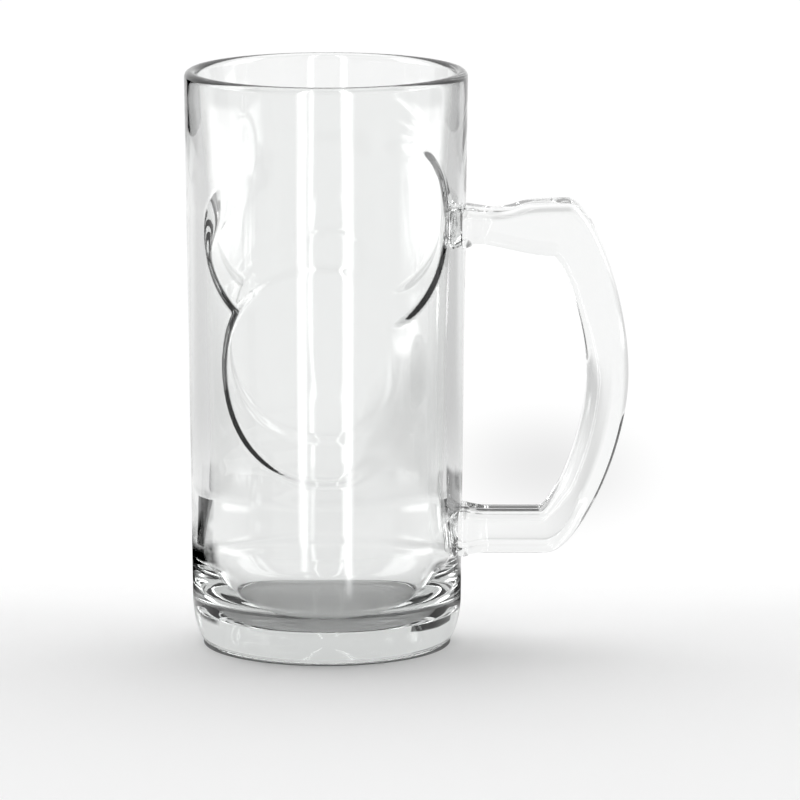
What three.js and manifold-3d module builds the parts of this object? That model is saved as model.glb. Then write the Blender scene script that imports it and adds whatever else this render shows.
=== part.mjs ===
// A tall juice mug of thick clear glass: a body with a heavy base and round lenses sunk into the
// inside of its wall, and a D-shaped handle that is pressed by itself and stuck on while hot.
// Millimetres, +Z up. The origin is on the body's axis, in the plane that the mug stands on.
// The handle points along +X, and the lenses face -Y and +Y.
import * as THREE from "three";
import { mergeVertices } from "three/addons/utils/BufferGeometryUtils.js";
import Module from "manifold-3d";

const wasm = await Module();
wasm.setup();

// Body, outside
const BODY_HEIGHT = 148;
const RIM_RADIUS = 36.2;
const BASE_RADIUS = 34.5;
const FOOT_ROUND_WIDTH = 4.2;
const FOOT_ROUND_HEIGHT = 12;

// Body, inside: the wall thins towards the lip, and above the floor, where the cavity swells
const WALL = 5;
const LIP_WALL = 3.4;
const LIP_TAPER_LENGTH = 34;
const SWELL = 1.8;
const SWELL_LENGTH = 18.5;
const FLOOR_THICKNESS = 7.5;
const FLOOR_ROUND_WIDTH = 8.8;
const FLOOR_ROUND_HEIGHT = 16;
const FLOOR_ROUND_BLUNTNESS = 1.6;
const FLOOR_ROUND_TOP = FLOOR_THICKNESS + FLOOR_ROUND_HEIGHT;

// Lenses: half sizes along the wall and up it, height of the centre, and depth along the middle.
// They are flatter than the round wall, so they are sunk deeper at their sides.
const UPPER_LENS = { halfWidth: 36, halfHeight: 30, centre: 111, middleDepth: 0.5 };
const LOWER_LENS = { halfWidth: 28, halfHeight: 29, centre: 74.5, middleDepth: 0.9 };
const LENS_SIDE_DEPTH = 1.8;
const LENS_EDGE_RUN = 1.8;

// Finger gap: heights of its top and bottom, and its depth at the bow of the handle
const GAP_TOP = 100.4;
const GAP_BOTTOM = 34.3;
const GAP_DEPTH = 31.4;
const BOW_HEIGHT = 70;

// Thickness of the handle along its run, its width, and how it swells where it meets the wall
const ROOT_THICKNESS = 8.2;
const ROOT_RISE = 3.4;
const THUMB_REST_THICKNESS = 14;
const GRIP_THICKNESS = 10.7;
const LOWER_ARM_THICKNESS = 10.6;
const HANDLE_WIDTH = 15;
const EDGE_ROUND = 2.6;
const ROOT_FLARE = 1;
const ROOT_FLARE_LENGTH = 7;
const WELD_GAP = 0.3;

// The handle's two lines, round the fingers and outside: how far from the wall each has its shoulder
// and its heel, and the runs over which it bends there and at the bow
const FINGER_LINE = {
  shoulder: 22.3,
  heel: 19.8,
  armRun: 7,
  shoulderRun: 2.5,
  aboveBowRun: 14,
  belowBowRun: 16,
  heelRun: 3,
};
const OUTER_LINE = {
  shoulder: 26.3,
  heel: 21.3,
  armRun: 20,
  shoulderRun: 5.5,
  aboveBowRun: 22,
  belowBowRun: 20,
  heelRun: 8.5,
};

// Fineness of the facets
const BODY_FACETS = 72;
const ROUND_STEPS = 6;
const WALL_STEPS = 5;
const SWELL_STEPS = 6;
const LENS_RINGS = 6;
const LENS_FACETS = 40;
const HANDLE_STEPS = 12;
const EDGE_STEPS = 2;

// Overlap that keeps a cutting solid clear of the face it cuts through
const CUT_OVERLAP = 1.5;

const clearGlass = () => new THREE.MeshStandardMaterial({
  color: 0xf3f6f5,
  roughness: 0.03,
  metalness: 0,
  transparent: true,
  opacity: 0.35,
});

// Radii of the wall at a height
const outerRadius = (z) => {
  const share = (z - FOOT_ROUND_HEIGHT) / (BODY_HEIGHT - FOOT_ROUND_HEIGHT);
  return THREE.MathUtils.lerp(BASE_RADIUS, RIM_RADIUS, share);
};
const wallThickness = (z) => {
  const lip = THREE.MathUtils.smoothstep(z, BODY_HEIGHT - LIP_TAPER_LENGTH, BODY_HEIGHT);
  const above = THREE.MathUtils.smoothstep(z, FLOOR_ROUND_TOP, FLOOR_ROUND_TOP + SWELL_LENGTH);
  return THREE.MathUtils.lerp(WALL, LIP_WALL, lip) - SWELL * (1 - above);
};
const innerRadius = (z) => outerRadius(z) - wallThickness(z);

// Solids and geometries
function solidFrom(geometry) {
  const bare = geometry.clone();
  bare.deleteAttribute("normal");
  bare.deleteAttribute("uv");
  const merged = mergeVertices(bare, 1e-4);
  const corners = merged.index.array;
  const triVerts = [];
  for (let i = 0; i < corners.length; i += 3) {
    const [a, b, c] = corners.slice(i, i + 3);
    if (a !== b && b !== c && c !== a) triVerts.push(a, b, c);
  }
  const vertProperties = new Float32Array(merged.attributes.position.array);
  const mesh = new wasm.Mesh({ numProp: 3, vertProperties, triVerts: new Uint32Array(triVerts) });
  return new wasm.Manifold(mesh);
}

function geometryFrom(solid) {
  const mesh = solid.getMesh();
  const geometry = new THREE.BufferGeometry();
  geometry.setAttribute("position", new THREE.BufferAttribute(mesh.vertProperties, 3));
  geometry.setIndex(new THREE.BufferAttribute(mesh.triVerts, 1));
  geometry.computeVertexNormals();
  return geometry;
}

// A profile of radius and height turned round the Z axis
function turned(profile, facets) {
  return new THREE.LatheGeometry(profile, facets).rotateX(Math.PI / 2);
}

// Points down the inside of the wall, without the first one
function wallPoints(from, to, steps) {
  const points = [];
  for (let i = 1; i <= steps; i += 1) {
    const z = THREE.MathUtils.lerp(from, to, i / steps);
    points.push(new THREE.Vector2(innerRadius(z), z));
  }
  return points;
}

// The round between wall and floor, a quarter of an oval that is blunter than an ellipse
function floorRound(floorRadius, steps) {
  const points = [];
  for (let i = 1; i <= steps; i += 1) {
    const turn = Math.PI / 2 * i / steps;
    const across = Math.cos(turn) ** (2 / FLOOR_ROUND_BLUNTNESS);
    const down = Math.sin(turn) ** (2 / FLOOR_ROUND_BLUNTNESS);
    points.push(new THREE.Vector2(
      floorRadius + FLOOR_ROUND_WIDTH * across, FLOOR_ROUND_TOP - FLOOR_ROUND_HEIGHT * down));
  }
  return points;
}

// The body's profile, from the middle of the foot, up the outside, over the lip and down inside
function bodyProfile() {
  const lip = LIP_WALL / 2;
  const lipHeight = BODY_HEIGHT - lip;
  const taperEnd = BODY_HEIGHT - LIP_TAPER_LENGTH;
  const swellTop = FLOOR_ROUND_TOP + SWELL_LENGTH;
  const floorRadius = innerRadius(FLOOR_ROUND_TOP) - FLOOR_ROUND_WIDTH;
  const footRadius = BASE_RADIUS - FOOT_ROUND_WIDTH;

  const footRound = new THREE.EllipseCurve(
    footRadius, FOOT_ROUND_HEIGHT, FOOT_ROUND_WIDTH, FOOT_ROUND_HEIGHT, -Math.PI / 2, 0);
  const lipRound = new THREE.EllipseCurve(
    outerRadius(lipHeight) - lip, lipHeight, lip, lip, 0, Math.PI);
  return [
    new THREE.Vector2(0, 0),
    ...footRound.getPoints(ROUND_STEPS),
    ...lipRound.getPoints(ROUND_STEPS),
    ...wallPoints(lipHeight, taperEnd, WALL_STEPS),
    ...wallPoints(taperEnd, swellTop, 1),
    ...wallPoints(swellTop, FLOOR_ROUND_TOP, SWELL_STEPS),
    ...floorRound(floorRadius, 2 * ROUND_STEPS),
    new THREE.Vector2(0, FLOOR_THICKNESS),
  ];
}

// A lens is turned flat as a disc, given a sloping edge, stretched to its oval and wrapped onto the
// inside of the wall, so that it keeps its outline along the glass.
function lensCutter(lens, facing) {
  const edge = LENS_EDGE_RUN / Math.min(lens.halfWidth, lens.halfHeight);
  const depth = (across) => THREE.MathUtils.lerp(lens.middleDepth, LENS_SIDE_DEPTH, across ** 2);
  const profile = [];
  for (let i = 0; i <= LENS_RINGS; i += 1) profile.push(new THREE.Vector2(i / LENS_RINGS, -1));
  for (let i = LENS_RINGS; i >= 0; i -= 1) profile.push(new THREE.Vector2(i / LENS_RINGS, 1));
  const disc = new THREE.LatheGeometry(profile, LENS_FACETS);
  const place = disc.attributes.position;
  for (let i = 0; i < place.count; i += 1) {
    const isSunk = place.getY(i) > 0;
    const spread = isSunk ? 1 - edge : 1 + edge * CUT_OVERLAP / depth(place.getX(i));
    const across = place.getX(i) * spread;
    const z = lens.centre - place.getZ(i) * spread * lens.halfHeight;
    const angle = across * lens.halfWidth / innerRadius(lens.centre);
    const radius = innerRadius(z) + (isSunk ? depth(across) : -CUT_OVERLAP);
    place.setXYZ(i, radius * Math.sin(angle), -radius * Math.cos(angle), z);
  }
  return disc.rotateZ(facing);
}

function bodyGeometry() {
  let body = solidFrom(turned(bodyProfile(), BODY_FACETS));
  for (const lens of [UPPER_LENS, LOWER_LENS]) {
    for (const facing of [0, Math.PI]) {
      body = body.subtract(solidFrom(lensCutter(lens, facing)));
    }
  }
  return geometryFrom(body);
}

// One of the handle's lines in the XZ plane, 0 round the fingers and 1 outside, as four curves:
// upper arm, shoulder to bow, bow to heel, lower arm
function handleLine(line, outside) {
  const at = (x, z) => new THREE.Vector3(x, 0, z);
  const rootHeight = GAP_TOP + ROOT_RISE + outside * ROOT_THICKNESS;
  const shoulderHeight = GAP_TOP + outside * THUMB_REST_THICKNESS;
  const heelHeight = GAP_BOTTOM - outside * LOWER_ARM_THICKNESS;
  const upperWall = outerRadius(GAP_TOP);
  const lowerWall = outerRadius(GAP_BOTTOM);
  const root = at(upperWall, rootHeight);
  const shoulder = at(upperWall + line.shoulder, shoulderHeight);
  const bow = at(outerRadius(BOW_HEIGHT) + GAP_DEPTH + outside * GRIP_THICKNESS, BOW_HEIGHT);
  const heel = at(lowerWall + line.heel, heelHeight);
  return [
    new THREE.CubicBezierCurve3(
      root, at(root.x + line.armRun, root.z), at(shoulder.x - line.armRun, shoulder.z), shoulder),
    new THREE.CubicBezierCurve3(
      shoulder, at(shoulder.x + line.shoulderRun, shoulder.z), at(bow.x, bow.z + line.aboveBowRun), bow),
    new THREE.CubicBezierCurve3(
      bow, at(bow.x, bow.z - line.belowBowRun), at(heel.x + line.heelRun, heel.z), heel),
    new THREE.LineCurve3(heel, at(lowerWall, heelHeight)),
  ];
}

// One ring of the handle between its lines: a rectangle with rounded edges, swelling at the wall
function handleRing(inner, outer) {
  const middle = inner.clone().lerp(outer, 0.5);
  const outward = outer.clone().sub(inner).normalize();
  const fromWall = Math.max(middle.x - outerRadius(middle.z), 0);
  const flare = ROOT_FLARE * Math.max(1 - fromWall / ROOT_FLARE_LENGTH, 0) ** 2;
  const side = HANDLE_WIDTH / 2 + flare - EDGE_ROUND;
  const top = inner.distanceTo(outer) / 2 + flare - EDGE_ROUND;
  const section = new THREE.Path()
    .absarc(side, top, EDGE_ROUND, 0, Math.PI / 2)
    .absarc(-side, top, EDGE_ROUND, Math.PI / 2, Math.PI)
    .absarc(-side, -top, EDGE_ROUND, Math.PI, 3 * Math.PI / 2)
    .absarc(side, -top, EDGE_ROUND, 3 * Math.PI / 2, 2 * Math.PI);
  return section.getPoints(EDGE_STEPS).map(
    ({ x, y }) => middle.clone().addScaledVector(outward, y).setY(x));
}

// The handle's rings, with one more at each end that is sunk into the wall
function handleRings() {
  const fingerCurves = handleLine(FINGER_LINE, 0);
  const outerCurves = handleLine(OUTER_LINE, 1);
  const rings = [];
  fingerCurves.forEach((fingerCurve, number) => {
    for (let i = number === 0 ? 0 : 1; i <= HANDLE_STEPS; i += 1) {
      const along = i / HANDLE_STEPS;
      rings.push(handleRing(fingerCurve.getPoint(along), outerCurves[number].getPoint(along)));
    }
  });
  const rootHalfWidth = HANDLE_WIDTH / 2 + ROOT_FLARE;
  const sunkReach = Math.sqrt(BASE_RADIUS ** 2 - rootHalfWidth ** 2) - CUT_OVERLAP;
  const sunk = (ring) => ring.map((corner) => corner.clone().setX(sunkReach));
  return [sunk(rings[0]), ...rings, sunk(rings.at(-1))];
}

// A closed skin over a row of rings
function loft(rings) {
  const sides = rings[0].length;
  const points = rings.flat();
  const triangles = [];
  for (let ring = 0; ring + 1 < rings.length; ring += 1) {
    for (let side = 0; side < sides; side += 1) {
      const a = ring * sides + side;
      const b = ring * sides + (side + 1) % sides;
      triangles.push(a, b, a + sides, b, b + sides, a + sides);
    }
  }
  const last = points.length - sides;
  for (let side = 1; side + 1 < sides; side += 1) {
    triangles.push(0, side + 1, side);
    triangles.push(last, last + side, last + side + 1);
  }
  const geometry = new THREE.BufferGeometry().setFromPoints(points);
  geometry.setIndex(triangles);
  return geometry;
}

function handleGeometry() {
  const wallFace = turned([
    new THREE.Vector2(0, 0),
    new THREE.Vector2(outerRadius(0) + WELD_GAP, 0),
    new THREE.Vector2(RIM_RADIUS + WELD_GAP, BODY_HEIGHT),
    new THREE.Vector2(0, BODY_HEIGHT),
  ], BODY_FACETS);
  return geometryFrom(solidFrom(loft(handleRings())).subtract(solidFrom(wallFace)));
}

// The mug
const mug = new THREE.Group();

const body = new THREE.Mesh(bodyGeometry(), clearGlass());
body.name = "mug_body";
mug.add(body);

const handle = new THREE.Mesh(handleGeometry(), clearGlass());
handle.name = "handle";
mug.add(handle);

export default mug;
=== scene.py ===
# A tall juice mug of thick clear glass: the body with its sunk lenses and the handle stuck to it.
import math

import bmesh
import bpy
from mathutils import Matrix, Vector


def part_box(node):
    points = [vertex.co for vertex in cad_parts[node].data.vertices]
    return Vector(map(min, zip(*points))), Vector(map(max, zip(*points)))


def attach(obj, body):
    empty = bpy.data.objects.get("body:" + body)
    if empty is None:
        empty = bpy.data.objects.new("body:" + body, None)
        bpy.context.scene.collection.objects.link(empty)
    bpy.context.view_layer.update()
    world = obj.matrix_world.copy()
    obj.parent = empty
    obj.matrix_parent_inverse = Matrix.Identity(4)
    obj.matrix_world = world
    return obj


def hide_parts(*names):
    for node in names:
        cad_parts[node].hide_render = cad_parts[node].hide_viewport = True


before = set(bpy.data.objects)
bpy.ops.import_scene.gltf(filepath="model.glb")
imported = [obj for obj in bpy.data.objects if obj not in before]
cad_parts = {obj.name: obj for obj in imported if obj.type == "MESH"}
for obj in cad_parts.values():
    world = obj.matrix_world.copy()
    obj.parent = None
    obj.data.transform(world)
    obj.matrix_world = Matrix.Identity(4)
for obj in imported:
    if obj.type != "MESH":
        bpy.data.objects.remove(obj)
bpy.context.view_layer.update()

MM = 0.001

# Body, outside
BODY_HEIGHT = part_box("mug_body")[1].z
RIM_RADIUS = 36.2 * MM
BASE_RADIUS = 34.5 * MM
FOOT_ROUND_WIDTH = 4.2 * MM
FOOT_ROUND_HEIGHT = 12 * MM

# Body, inside
WALL = 5 * MM
LIP_WALL = 3.4 * MM
LIP_HEIGHT = BODY_HEIGHT - LIP_WALL / 2
LIP_TAPER_LENGTH = 34 * MM
FLOOR_THICKNESS = 7.5 * MM
FLOOR_ROUND_WIDTH = 8.8 * MM
FLOOR_ROUND_HEIGHT = 16 * MM
FLOOR_ROUND_BLUNTNESS = 1.6
FLOOR_ROUND_TOP = FLOOR_THICKNESS + FLOOR_ROUND_HEIGHT
SWELL = 1.8 * MM
SWELL_LENGTH = 18.5 * MM

# Lenses sunk into the inside of the wall, on the front and on the back. Each edge runs out softly
# one way: soft_way is a direction towards the handle and upwards.
UPPER_LENS = {
    "half_width": 36 * MM,
    "half_height": 30 * MM,
    "centre": 111 * MM,
    "middle_depth": 0.5 * MM,
    "soft_way": (-0.45, 0.89),
}
LOWER_LENS = {
    "half_width": 28 * MM,
    "half_height": 29 * MM,
    "centre": 74.5 * MM,
    "middle_depth": 0.9 * MM,
    "soft_way": (1, 0),
}
LENS_SIDE_DEPTH = 1.8 * MM
LENS_EDGE_RUN = 2.2 * MM
LENS_SOFT_RUN = 14 * MM
LENS_SOFT_SPREAD = (0.1, 0.8)
LENS_LEAST_REACH = 0.01
LENS_FACINGS = (-math.pi / 2, math.pi / 2)

# Finger gap
GAP_TOP = 100.4 * MM
GAP_BOTTOM = 34.3 * MM
GAP_DEPTH = 31.4 * MM
BOW_HEIGHT = 70 * MM

# Handle. Its edges are rounder on the lower grip, between two spans of height.
ROOT_THICKNESS = 8.2 * MM
ROOT_RISE = 3.4 * MM
THUMB_REST_THICKNESS = 14 * MM
GRIP_THICKNESS = 10.7 * MM
LOWER_ARM_THICKNESS = 10.6 * MM
HANDLE_WIDTH = 15 * MM
EDGE_ROUND = 2.6 * MM
GRIP_EDGE_ROUND = 4.4 * MM
GRIP_ROUND_START = (30 * MM, 40 * MM)
GRIP_ROUND_END = (66 * MM, 92 * MM)
ROOT_FLARE = 1 * MM
ROOT_FLARE_LENGTH = 7 * MM
WELD_DEPTH = 0.25 * MM

# The handle's two lines: where each has its shoulder and heel, and the runs over which it bends
FINGER_LINE = {
    "shoulder": 22.3 * MM,
    "heel": 19.8 * MM,
    "arm_run": 7 * MM,
    "shoulder_run": 2.5 * MM,
    "above_bow_run": 14 * MM,
    "below_bow_run": 16 * MM,
    "heel_run": 3 * MM,
}
OUTER_LINE = {
    "shoulder": 26.3 * MM,
    "heel": 21.3 * MM,
    "arm_run": 20 * MM,
    "shoulder_run": 5.5 * MM,
    "above_bow_run": 22 * MM,
    "below_bow_run": 20 * MM,
    "heel_run": 8.5 * MM,
}

# Fineness of the meshes
BODY_STEPS = 320
WALL_ROWS = 150
OUTSIDE_ROWS = 24
ROUND_STEPS = 16
HANDLE_STEPS = 44
EDGE_STEPS = 11
WELD_RINGS = 5
MERGE_DISTANCE = 1e-7

# Glass: tints, faint upright ripples, and a bloom that comes and goes in clouds
GLASS_IOR = 1.5
DEPTH_TINT = (0.5, 0.52, 0.51, 1)
BODY_TINT = (0.935, 0.94, 0.937, 1)
BODY_DENSITY = 12
BODY_RIPPLES = 70
HANDLE_TINT = (0.965, 0.97, 0.967, 1)
HANDLE_DENSITY = 6
HANDLE_RIPPLES = 110
RIPPLE_DRAW = 0.3
RIPPLE_DETAIL = 1
RIPPLE_DEPTH = 0.06 * MM
BLOOM_SCALE = 45
BLOOM_CLOUDS = (0.4, 0.8)
BLOOM = 0.03
INNER_REFLECTIONS = 8

# Floor: painted shade under the mug, a painted contact shadow as a dark line where the foot meets it,
# and a fade to white behind the mug and a soft shade behind the handle
FLOOR_HALF_SIZE = 4
FLOOR_SEGMENTS = 8
FLOOR_DROP = 0.3 * MM
FLOOR_ROUGHNESS = 0.6
FLOOR_TONE = 0.9
FLOOR_FADE = (0.025, 0.09)
UNDER_SHADE_TONE = 0.75
UNDER_SHADE_FADE = (28.5 * MM, 30.5 * MM)
# A painted contact shadow: a dark ring in the floor's colour near the edge of the foot
CONTACT_SHADOW_RADIUS = BASE_RADIUS - FOOT_ROUND_WIDTH + 0.7 * MM
CONTACT_SHADOW_HALF_WIDTH = 0.8 * MM
CONTACT_SHADOW_TONE = 0.3
WHITE = 1.02
SHADE_TONE = 0.83
SHADE_CENTRE = (0.062, 0.24, 0)
SHADE_HALF_SIZES = (0.042, 0.13, 1)
SHEET_HEIGHT = 1 * MM

# Surroundings: how they brighten from the camera's side to behind the mug, and towards the top
FRONT_TO_BACK = (-0.5, 0.3)
FRONT_TO_BACK_TONES = (0.15, WHITE)
SIDES_TO_TOP = (0.35, 0.8)
SIDES_TO_TOP_TONES = (1, 1.9)

# Camera. A place in the picture is in pixels of its 800 by 800 frame.
PICTURE = 800
SENSOR = 36
MM_PER_PIXEL = 0.2566
AXIS_PIXEL = 326.6
MIDDLE_HEIGHT = 62.6 * MM
CAMERA_DISTANCE = 1.8
CAMERA_RISE = math.radians(10.2)
CLIP_START = 0.05


def mix(a, b, share):
    return a + (b - a) * share


def smoothstep(value, low, high):
    share = min(max((value - low) / (high - low), 0), 1)
    return share * share * (3 - 2 * share)


def arc(centre, half_sizes, start, end, steps, bluntness=2):
    """Points of radius and height on a part of an ellipse, flatter where bluntness is below 2."""
    points = []
    for step in range(steps + 1):
        turn = mix(start, end, step / steps)
        across, up = math.cos(turn), math.sin(turn)
        across = math.copysign(abs(across) ** (2 / bluntness), across)
        up = math.copysign(abs(up) ** (2 / bluntness), up)
        points.append((centre[0] + half_sizes[0] * across, centre[1] + half_sizes[1] * up))
    return points


def bezier(points, share):
    a, b, c, d = points
    rest = 1 - share
    return a * rest ** 3 + b * 3 * rest ** 2 * share + c * 3 * rest * share ** 2 + d * share ** 3


def finish_mesh(name, bm):
    """A smooth object of the mesh, with its doubles merged and its normals outward."""
    bmesh.ops.remove_doubles(bm, verts=bm.verts, dist=MERGE_DISTANCE)
    bmesh.ops.recalc_face_normals(bm, faces=bm.faces)
    mesh = bpy.data.meshes.new(name)
    bm.to_mesh(mesh)
    bm.free()
    mesh.polygons.foreach_set("use_smooth", [True] * len(mesh.polygons))
    piece = bpy.data.objects.new(name, mesh)
    bpy.context.scene.collection.objects.link(piece)
    return piece


# Body
def outer_radius(z):
    share = (z - FOOT_ROUND_HEIGHT) / (BODY_HEIGHT - FOOT_ROUND_HEIGHT)
    return mix(BASE_RADIUS, RIM_RADIUS, share)


def wall_thickness(z):
    swell = SWELL * (1 - smoothstep(z, FLOOR_ROUND_TOP, FLOOR_ROUND_TOP + SWELL_LENGTH))
    return mix(WALL, LIP_WALL, smoothstep(z, BODY_HEIGHT - LIP_TAPER_LENGTH, BODY_HEIGHT)) - swell


def inner_radius(z):
    return outer_radius(z) - wall_thickness(z)


def lens_depth(angle, z):
    """How far the lenses are sunk into the wall at a place on its inside."""
    deepest = 0
    for lens in (UPPER_LENS, LOWER_LENS):
        for facing in LENS_FACINGS:
            away = math.remainder(angle - facing, 2 * math.pi)
            across = away * inner_radius(lens["centre"]) / lens["half_width"]
            up = (z - lens["centre"]) / lens["half_height"]
            reach = math.hypot(across, up)
            to_handle = math.copysign(across, math.cos(angle))
            along = to_handle * lens["soft_way"][0] + up * lens["soft_way"][1]
            softness = smoothstep(along / max(reach, LENS_LEAST_REACH), *LENS_SOFT_SPREAD)
            run = mix(LENS_EDGE_RUN, LENS_SOFT_RUN, softness)
            edge = run / min(lens["half_width"], lens["half_height"])
            depth = mix(lens["middle_depth"], LENS_SIDE_DEPTH, across ** 2)
            deepest = max(deepest, depth * smoothstep(1 - reach, 0, edge))
    return deepest


def body_profile():
    """Points of radius and height from the middle of the foot, over the lip, to that of the floor."""
    lip = LIP_WALL / 2
    floor_radius = inner_radius(FLOOR_ROUND_TOP) - FLOOR_ROUND_WIDTH
    foot_radius = BASE_RADIUS - FOOT_ROUND_WIDTH
    outside = [mix(FOOT_ROUND_HEIGHT, LIP_HEIGHT, row / OUTSIDE_ROWS) for row in range(1, OUTSIDE_ROWS)]
    inside = [mix(LIP_HEIGHT, FLOOR_ROUND_TOP, row / WALL_ROWS) for row in range(1, WALL_ROWS)]
    return [
        (0, 0),
        *arc((foot_radius, FOOT_ROUND_HEIGHT), (FOOT_ROUND_WIDTH, FOOT_ROUND_HEIGHT),
             -math.pi / 2, 0, ROUND_STEPS),
        *[(outer_radius(z), z) for z in outside],
        *arc((outer_radius(LIP_HEIGHT) - lip, LIP_HEIGHT), (lip, lip), 0, math.pi, ROUND_STEPS),
        *[(inner_radius(z), z) for z in inside],
        *arc((floor_radius, FLOOR_ROUND_TOP), (FLOOR_ROUND_WIDTH, FLOOR_ROUND_HEIGHT),
             0, -math.pi / 2, 2 * ROUND_STEPS, FLOOR_ROUND_BLUNTNESS),
        (0, FLOOR_THICKNESS),
    ]


def trace(bm, points):
    """A line of edges through the points, drawn out from its first vertex."""
    tip = bm.verts.new(points[0])
    for point in points[1:]:
        grown = bmesh.ops.extrude_vert_indiv(bm, verts=[tip])
        tip = grown["verts"][0]
        tip.co = point


def make_body():
    """The profile spun round the axis, with the lenses sunk into the inside of its wall."""
    bm = bmesh.new()
    trace(bm, [Vector((radius, 0, z)) for radius, z in body_profile()])
    bmesh.ops.spin(bm, geom=bm.verts[:] + bm.edges[:], cent=(0, 0, 0), axis=(0, 0, 1),
                   angle=2 * math.pi, steps=BODY_STEPS, use_merge=True)
    for vert in bm.verts:
        radius = math.hypot(vert.co.x, vert.co.y)
        on_wall = FLOOR_ROUND_TOP < vert.co.z < LIP_HEIGHT
        if on_wall and radius < outer_radius(vert.co.z) - LIP_WALL / 2:
            sunk = lens_depth(math.atan2(vert.co.y, vert.co.x), vert.co.z)
            vert.co.xy *= 1 + sunk / radius
    return finish_mesh("glass_body", bm)


# Handle
def handle_line(line, outside):
    """One of the handle's lines, 0 round the fingers and 1 outside, as four curves."""
    upper_wall, lower_wall = outer_radius(GAP_TOP), outer_radius(GAP_BOTTOM)
    heel_height = GAP_BOTTOM - outside * LOWER_ARM_THICKNESS
    root = Vector((upper_wall, 0, GAP_TOP + ROOT_RISE + outside * ROOT_THICKNESS))
    shoulder = Vector((upper_wall + line["shoulder"], 0, GAP_TOP + outside * THUMB_REST_THICKNESS))
    bow = Vector((outer_radius(BOW_HEIGHT) + GAP_DEPTH + outside * GRIP_THICKNESS, 0, BOW_HEIGHT))
    heel = Vector((lower_wall + line["heel"], 0, heel_height))
    end = Vector((lower_wall, 0, heel_height))
    out, up = Vector((1, 0, 0)), Vector((0, 0, 1))
    return [
        (root, root + out * line["arm_run"], shoulder - out * line["arm_run"], shoulder),
        (shoulder, shoulder + out * line["shoulder_run"], bow + up * line["above_bow_run"], bow),
        (bow, bow - up * line["below_bow_run"], heel + out * line["heel_run"], heel),
        (heel, heel.lerp(end, 1 / 3), heel.lerp(end, 2 / 3), end),
    ]


def edge_round(z):
    """The rounding of the handle's edges at a height."""
    on_grip = smoothstep(z, *GRIP_ROUND_START) * (1 - smoothstep(z, *GRIP_ROUND_END))
    return mix(EDGE_ROUND, GRIP_EDGE_ROUND, on_grip)


def handle_ring(inner, outer):
    """A rectangle with rounded edges between the two lines, which swells at the wall."""
    middle = inner.lerp(outer, 0.5)
    outward = (outer - inner).normalized()
    from_wall = max(middle.x - outer_radius(middle.z), 0)
    flare = ROOT_FLARE * max(1 - from_wall / ROOT_FLARE_LENGTH, 0) ** 2
    rounding = edge_round(middle.z)
    side = HANDLE_WIDTH / 2 + flare - rounding
    top = (outer - inner).length / 2 + flare - rounding
    corners = ((side, top), (-side, top), (-side, -top), (side, -top))
    ring = []
    for number, corner in enumerate(corners):
        start = number * math.pi / 2
        for y, up in arc(corner, (rounding, rounding), start, start + math.pi / 2, EDGE_STEPS):
            place = middle + outward * up
            place.y = y
            ring.append(place)
    return ring


def onto_wall(place):
    """The place moved along X to just under the wall's outer face."""
    radius = outer_radius(place.z) - WELD_DEPTH
    return Vector((math.sqrt(radius ** 2 - place.y ** 2), place.y, place.z))


def handle_rings():
    """Rings from the upper root to the lower one. The first and the last follow the wall."""
    rings = []
    curves = zip(handle_line(FINGER_LINE, 0), handle_line(OUTER_LINE, 1))
    for number, (finger_curve, outer_curve) in enumerate(curves):
        for step in range(1 if number else 0, HANDLE_STEPS + 1):
            share = step / HANDLE_STEPS
            rings.append(handle_ring(bezier(finger_curve, share), bezier(outer_curve, share)))
    rings[0] = [onto_wall(place) for place in rings[0]]
    rings[-1] = [onto_wall(place) for place in rings[-1]]
    return rings


def weld_rings(ring):
    """Rings that close an end of the handle over the wall, from its middle outwards."""
    middle = sum(ring, Vector()) / len(ring)
    return [[onto_wall(middle.lerp(place, number / WELD_RINGS)) for place in ring]
            for number in range(WELD_RINGS)]


def make_handle():
    """A loft through the handle's rings, closed at both roots."""
    rings = handle_rings()
    rings = weld_rings(rings[0]) + rings + weld_rings(rings[-1])[::-1]
    bm = bmesh.new()
    made = bmesh.ops.create_circle(bm, segments=len(rings[0]), radius=HANDLE_WIDTH)
    for vert, place in zip(made["verts"], rings[0]):
        vert.co = place
    edges = bm.edges[:]
    for ring in rings[1:]:
        grown = bmesh.ops.extrude_edge_only(bm, edges=edges)["geom"]
        edges = [part for part in grown if isinstance(part, bmesh.types.BMEdge)]
        tips = [part for part in grown if isinstance(part, bmesh.types.BMVert)]
        for vert, place in zip(tips, ring):
            vert.co = place
    return finish_mesh("glass_handle", bm)


# Nodes
def new_material(name):
    material = bpy.data.materials.new(name)
    material.use_nodes = True
    return material


def coordinates(tree, kind):
    return tree.nodes.new("ShaderNodeTexCoord").outputs[kind]


def axes_of(tree, vector):
    split = tree.nodes.new("ShaderNodeSeparateXYZ")
    tree.links.new(vector, split.inputs["Vector"])
    return split.outputs


def length_of(tree, vector):
    measure = tree.nodes.new("ShaderNodeVectorMath")
    measure.operation = "LENGTH"
    tree.links.new(vector, measure.inputs[0])
    return measure.outputs["Value"]


def reckon(tree, operation, value, *others):
    """A sum on a socket and others, which are sockets or numbers."""
    node = tree.nodes.new("ShaderNodeMath")
    node.operation = operation
    tree.links.new(value, node.inputs[0])
    for number, other in enumerate(others, 1):
        if isinstance(other, bpy.types.NodeSocket):
            tree.links.new(other, node.inputs[number])
        else:
            node.inputs[number].default_value = other
    return node.outputs["Value"]


def ramp(tree, value, bounds, tones=(0, 1), kind="SMOOTHSTEP"):
    """A tone that changes from the first to the second as the value passes between its bounds."""
    node = tree.nodes.new("ShaderNodeMapRange")
    node.interpolation_type = kind
    node.inputs["From Min"].default_value = bounds[0]
    node.inputs["From Max"].default_value = bounds[1]
    node.inputs["To Min"].default_value = tones[0]
    node.inputs["To Max"].default_value = tones[1]
    tree.links.new(value, node.inputs["Value"])
    return node.outputs["Result"]


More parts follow.
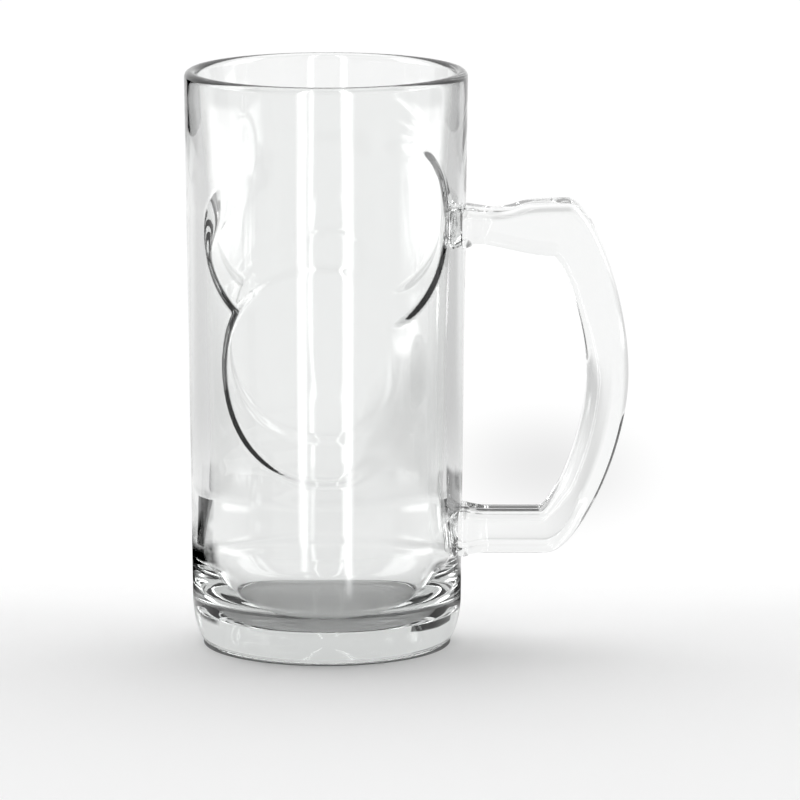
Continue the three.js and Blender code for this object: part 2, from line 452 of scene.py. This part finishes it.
def blend_surface(tree, share, first, second):
    """Makes the surface go over from the first shader to the second."""
    blend = tree.nodes.new("ShaderNodeMixShader")
    tree.links.new(share, blend.inputs["Fac"])
    tree.links.new(first, blend.inputs[1])
    tree.links.new(second, blend.inputs[2])
    tree.links.new(blend.outputs["Shader"], tree.nodes["Material Output"].inputs["Surface"])


def make_glass(name, tint, density, ripple_scale):
    """Clear glass with the faint upright ripples and the slight bloom of a fire-polished face."""
    material = new_material(name)
    tree = material.node_tree
    shader = tree.nodes["Principled BSDF"]
    shader.inputs["Base Color"].default_value = tint
    shader.inputs["IOR"].default_value = GLASS_IOR
    shader.inputs["Transmission Weight"].default_value = 1
    place = coordinates(tree, "Object")
    drawn = tree.nodes.new("ShaderNodeMapping")
    drawn.inputs["Scale"].default_value = (1, 1, RIPPLE_DRAW)
    tree.links.new(place, drawn.inputs["Vector"])
    ripples = tree.nodes.new("ShaderNodeTexNoise")
    ripples.inputs["Scale"].default_value = ripple_scale
    ripples.inputs["Detail"].default_value = RIPPLE_DETAIL
    tree.links.new(drawn.outputs["Vector"], ripples.inputs["Vector"])
    face = tree.nodes.new("ShaderNodeBump")
    face.inputs["Distance"].default_value = RIPPLE_DEPTH
    tree.links.new(ripples.outputs["Fac"], face.inputs["Height"])
    tree.links.new(face.outputs["Normal"], shader.inputs["Normal"])
    clouds = tree.nodes.new("ShaderNodeTexNoise")
    clouds.inputs["Scale"].default_value = BLOOM_SCALE
    tree.links.new(place, clouds.inputs["Vector"])
    bloom = ramp(tree, clouds.outputs["Fac"], BLOOM_CLOUDS, (0, BLOOM), "LINEAR")
    tree.links.new(bloom, shader.inputs["Roughness"])
    depth = tree.nodes.new("ShaderNodeVolumeAbsorption")
    depth.inputs["Color"].default_value = DEPTH_TINT
    depth.inputs["Density"].default_value = density
    tree.links.new(depth.outputs["Volume"], tree.nodes["Material Output"].inputs["Volume"])
    return material


# Stage
def panel_material(name, strength, softness):
    """A glow that fades out towards the panel's sides and towards its ends."""
    material = new_material(name)
    tree = material.node_tree
    tree.nodes.remove(tree.nodes["Principled BSDF"])
    glow = tree.nodes.new("ShaderNodeEmission")
    glow.inputs["Strength"].default_value = strength
    clear = tree.nodes.new("ShaderNodeBsdfTransparent")
    place = axes_of(tree, coordinates(tree, "Generated"))
    from_side, from_end = [reckon(tree, "PINGPONG", place[axis], 0.5) for axis in ("X", "Y")]
    across = ramp(tree, from_side, (0, softness[0]))
    along = ramp(tree, from_end, (0, softness[1]))
    cover = reckon(tree, "MULTIPLY", across, along)
    blend_surface(tree, cover, clear.outputs["BSDF"], glow.outputs["Emission"])
    return material


def hang_panel(name, strength, softness, half_sizes, location, rotation):
    """A soft-edged panel that is seen in the glass only. A strength of 0 makes it black."""
    bm = bmesh.new()
    bmesh.ops.create_grid(bm, x_segments=1, y_segments=1, size=1)
    bmesh.ops.scale(bm, verts=bm.verts, vec=(*half_sizes, 1))
    panel = finish_mesh(name, bm)
    panel.location = location
    panel.rotation_euler = rotation
    panel.data.materials.append(panel_material(name, strength, softness))
    panel.visible_camera = False
    panel.visible_diffuse = False
    panel.visible_shadow = False


def half(span):
    return (span[1] - span[0]) / 2


def middle_of(span):
    return sum(span) / 2


def half_width_at(distance, bearings):
    return distance * math.tan(math.radians(abs(half(bearings))))


def stand_panel(name, strength, bearings, distance, heights, softness):
    """An upright panel that faces the mug between two bearings round it, in degrees.

    0 is behind the mug, 90 on its right and 180 on the camera's side.
    """
    bearing = math.radians(middle_of(bearings))
    half_sizes = (half_width_at(distance, bearings), half(heights))
    location = (distance * math.sin(bearing), distance * math.cos(bearing), middle_of(heights))
    hang_panel(name, strength, softness, half_sizes, location, (math.pi / 2, 0, -bearing))


def lay_sheet(name, strength, bearings, distances, softness):
    """A sheet that lies on the floor between two bearings and two distances from the mug's axis."""
    bearing = math.radians(middle_of(bearings))
    distance = middle_of(distances)
    half_sizes = (half_width_at(distance, bearings), half(distances))
    location = (distance * math.sin(bearing), distance * math.cos(bearing), SHEET_HEIGHT)
    hang_panel(name, strength, softness, half_sizes, location, (0, 0, -bearing))


def set_flag(name, strength, sides, heights, behind, softness):
    """A small upright card close behind the mug, between two places along X."""
    location = (middle_of(sides), behind, middle_of(heights))
    hang_panel(name, strength, softness, (half(sides), half(heights)), location, (math.pi / 2, 0, 0))


def make_floor():
    bm = bmesh.new()
    bmesh.ops.create_grid(bm, x_segments=FLOOR_SEGMENTS, y_segments=FLOOR_SEGMENTS, size=FLOOR_HALF_SIZE)
    bmesh.ops.translate(bm, verts=bm.verts, vec=(0, 0, -FLOOR_DROP))
    floor = finish_mesh("floor", bm)
    material = new_material("pale_floor")
    tree = material.node_tree
    place = coordinates(tree, "Object")
    from_axis = length_of(tree, place)
    # Painted shade: the floor's colour is darker under the mug, standing in for the mug's shadow
    painted_under_shade = ramp(tree, from_axis, UNDER_SHADE_FADE, (UNDER_SHADE_TONE, FLOOR_TONE))
    # Painted contact shadow: a dark line in the floor's colour round the edge of the foot
    on_contact_shadow = reckon(tree, "COMPARE", from_axis, CONTACT_SHADOW_RADIUS, CONTACT_SHADOW_HALF_WIDTH)
    painted_contact_shadow = ramp(tree, on_contact_shadow, (0, 1), (1, CONTACT_SHADOW_TONE), "LINEAR")
    matt = tree.nodes["Principled BSDF"]
    matt.inputs["Roughness"].default_value = FLOOR_ROUGHNESS
    matt.inputs["Specular IOR Level"].default_value = 0
    tree.links.new(reckon(tree, "MULTIPLY", painted_under_shade, painted_contact_shadow), matt.inputs["Base Color"])
    patch = tree.nodes.new("ShaderNodeMapping")
    patch.vector_type = "TEXTURE"
    patch.inputs["Location"].default_value = SHADE_CENTRE
    patch.inputs["Scale"].default_value = SHADE_HALF_SIZES
    tree.links.new(place, patch.inputs["Vector"])
    shade = ramp(tree, length_of(tree, patch.outputs["Vector"]), (0, 1), (SHADE_TONE, WHITE))
    white = tree.nodes.new("ShaderNodeEmission")
    tree.links.new(shade, white.inputs["Strength"])
    behind_mug = ramp(tree, axes_of(tree, place)["Y"], FLOOR_FADE)
    blend_surface(tree, behind_mug, matt.outputs["BSDF"], white.outputs["Emission"])
    floor.data.materials.append(material)


def make_world():
    world = bpy.data.worlds.new("studio")
    world.use_nodes = True
    tree = world.node_tree
    glow = tree.nodes["Background"]
    glow.inputs["Color"].default_value = (1, 1, 1, 1)
    way = axes_of(tree, coordinates(tree, "Generated"))
    to_back = ramp(tree, way["Y"], FRONT_TO_BACK, FRONT_TO_BACK_TONES)
    to_top = ramp(tree, way["Z"], SIDES_TO_TOP, SIDES_TO_TOP_TONES)
    tree.links.new(reckon(tree, "MULTIPLY", to_back, to_top), glow.inputs["Strength"])
    bpy.context.scene.world = world


def make_camera():
    camera = bpy.data.objects.new("camera", bpy.data.cameras.new("camera"))
    aim = Vector(((PICTURE / 2 - AXIS_PIXEL) * MM_PER_PIXEL * MM, 0, MIDDLE_HEIGHT))
    away = Vector((0, -math.cos(CAMERA_RISE), math.sin(CAMERA_RISE)))
    camera.location = aim + away * CAMERA_DISTANCE
    camera.rotation_euler = (math.pi / 2 - CAMERA_RISE, 0, 0)
    camera.data.sensor_width = SENSOR
    camera.data.lens = SENSOR * CAMERA_DISTANCE / (PICTURE * MM_PER_PIXEL * MM)
    camera.data.clip_start = CLIP_START
    bpy.context.scene.collection.objects.link(camera)
    bpy.context.scene.camera = camera


make_camera()
make_world()
make_floor()

# Soft boxes beside the mug and grey sheets on the floor behind it, on the left and on the right
for side, sheet_tone in ((-1, 0.76), (1, 0.66)):
    softbox = {"strength": 5.5, "bearings": (68 * side, 113 * side), "distance": 0.55}
    stand_panel("low_softbox", **softbox, heights=(0, 0.08), softness=(0.3, 0.45))
    stand_panel("high_softbox", **softbox, heights=(0.14, 0.8), softness=(0.25, 0.1))
    lay_sheet("grey_sheet", strength=sheet_tone, bearings=(16 * side, 64 * side),
              distances=(0.12, 0.88), softness=(0.35, 0.3))

# Dark cards far behind, and flags close behind, which draw the dark strokes low in the glass
stand_panel("left_dark_card", strength=0, bearings=(-28, -60), distance=0.9,
            heights=(-0.05, 0.15), softness=(0.04, 0.05))
lay_sheet("left_dark_sheet", strength=0, bearings=(-52.3, -75.7),
          distances=(0.11, 0.26), softness=(0.1, 0.1))
stand_panel("right_dark_card", strength=0, bearings=(40, 72), distance=0.9,
            heights=(-0.05, 0.14), softness=(0.2, 0.2))
set_flag("lower_arm_flag", strength=0.25, sides=(36 * MM, 57 * MM), heights=(34 * MM, 41.5 * MM),
         behind=16 * MM, softness=(0.1, 0.3))
set_flag("left_flag", strength=0, sides=(-75 * MM, -31 * MM), heights=(4 * MM, 28 * MM),
         behind=20 * MM, softness=(0.1, 0.25))
set_flag("right_flag", strength=0.08, sides=(31 * MM, 58.5 * MM), heights=(2 * MM, 15.5 * MM),
         behind=20 * MM, softness=(0.1, 0.3))

# A soft box and two strips on the camera's side, which draw the white streaks
stand_panel("front_softbox", strength=1, bearings=(112, 160), distance=0.6,
            heights=(0, 0.8), softness=(0.2, 0.1))
stand_panel("left_strip", strength=8, bearings=(192.7, 202.5), distance=0.16,
            heights=(0, 0.6), softness=(0.5, 0.01))
stand_panel("right_strip", strength=7, bearings=(168, 159.4), distance=0.1,
            heights=(0, 0.6), softness=(0.5, 0.01))

body = make_body()
body.data.materials.append(make_glass("body_glass", BODY_TINT, BODY_DENSITY, BODY_RIPPLES))
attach(body, "root")
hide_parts("mug_body")

handle = make_handle()
handle.data.materials.append(make_glass("handle_glass", HANDLE_TINT, HANDLE_DENSITY, HANDLE_RIPPLES))
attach(handle, "root")
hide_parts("handle")

# Light is followed often enough inside the glass that the heavy base does not turn black.
scene = bpy.context.scene
scene.view_settings.view_transform = "Standard"
scene.cycles.max_bounces = INNER_REFLECTIONS
scene.cycles.glossy_bounces = INNER_REFLECTIONS
scene.cycles.transmission_bounces = INNER_REFLECTIONS
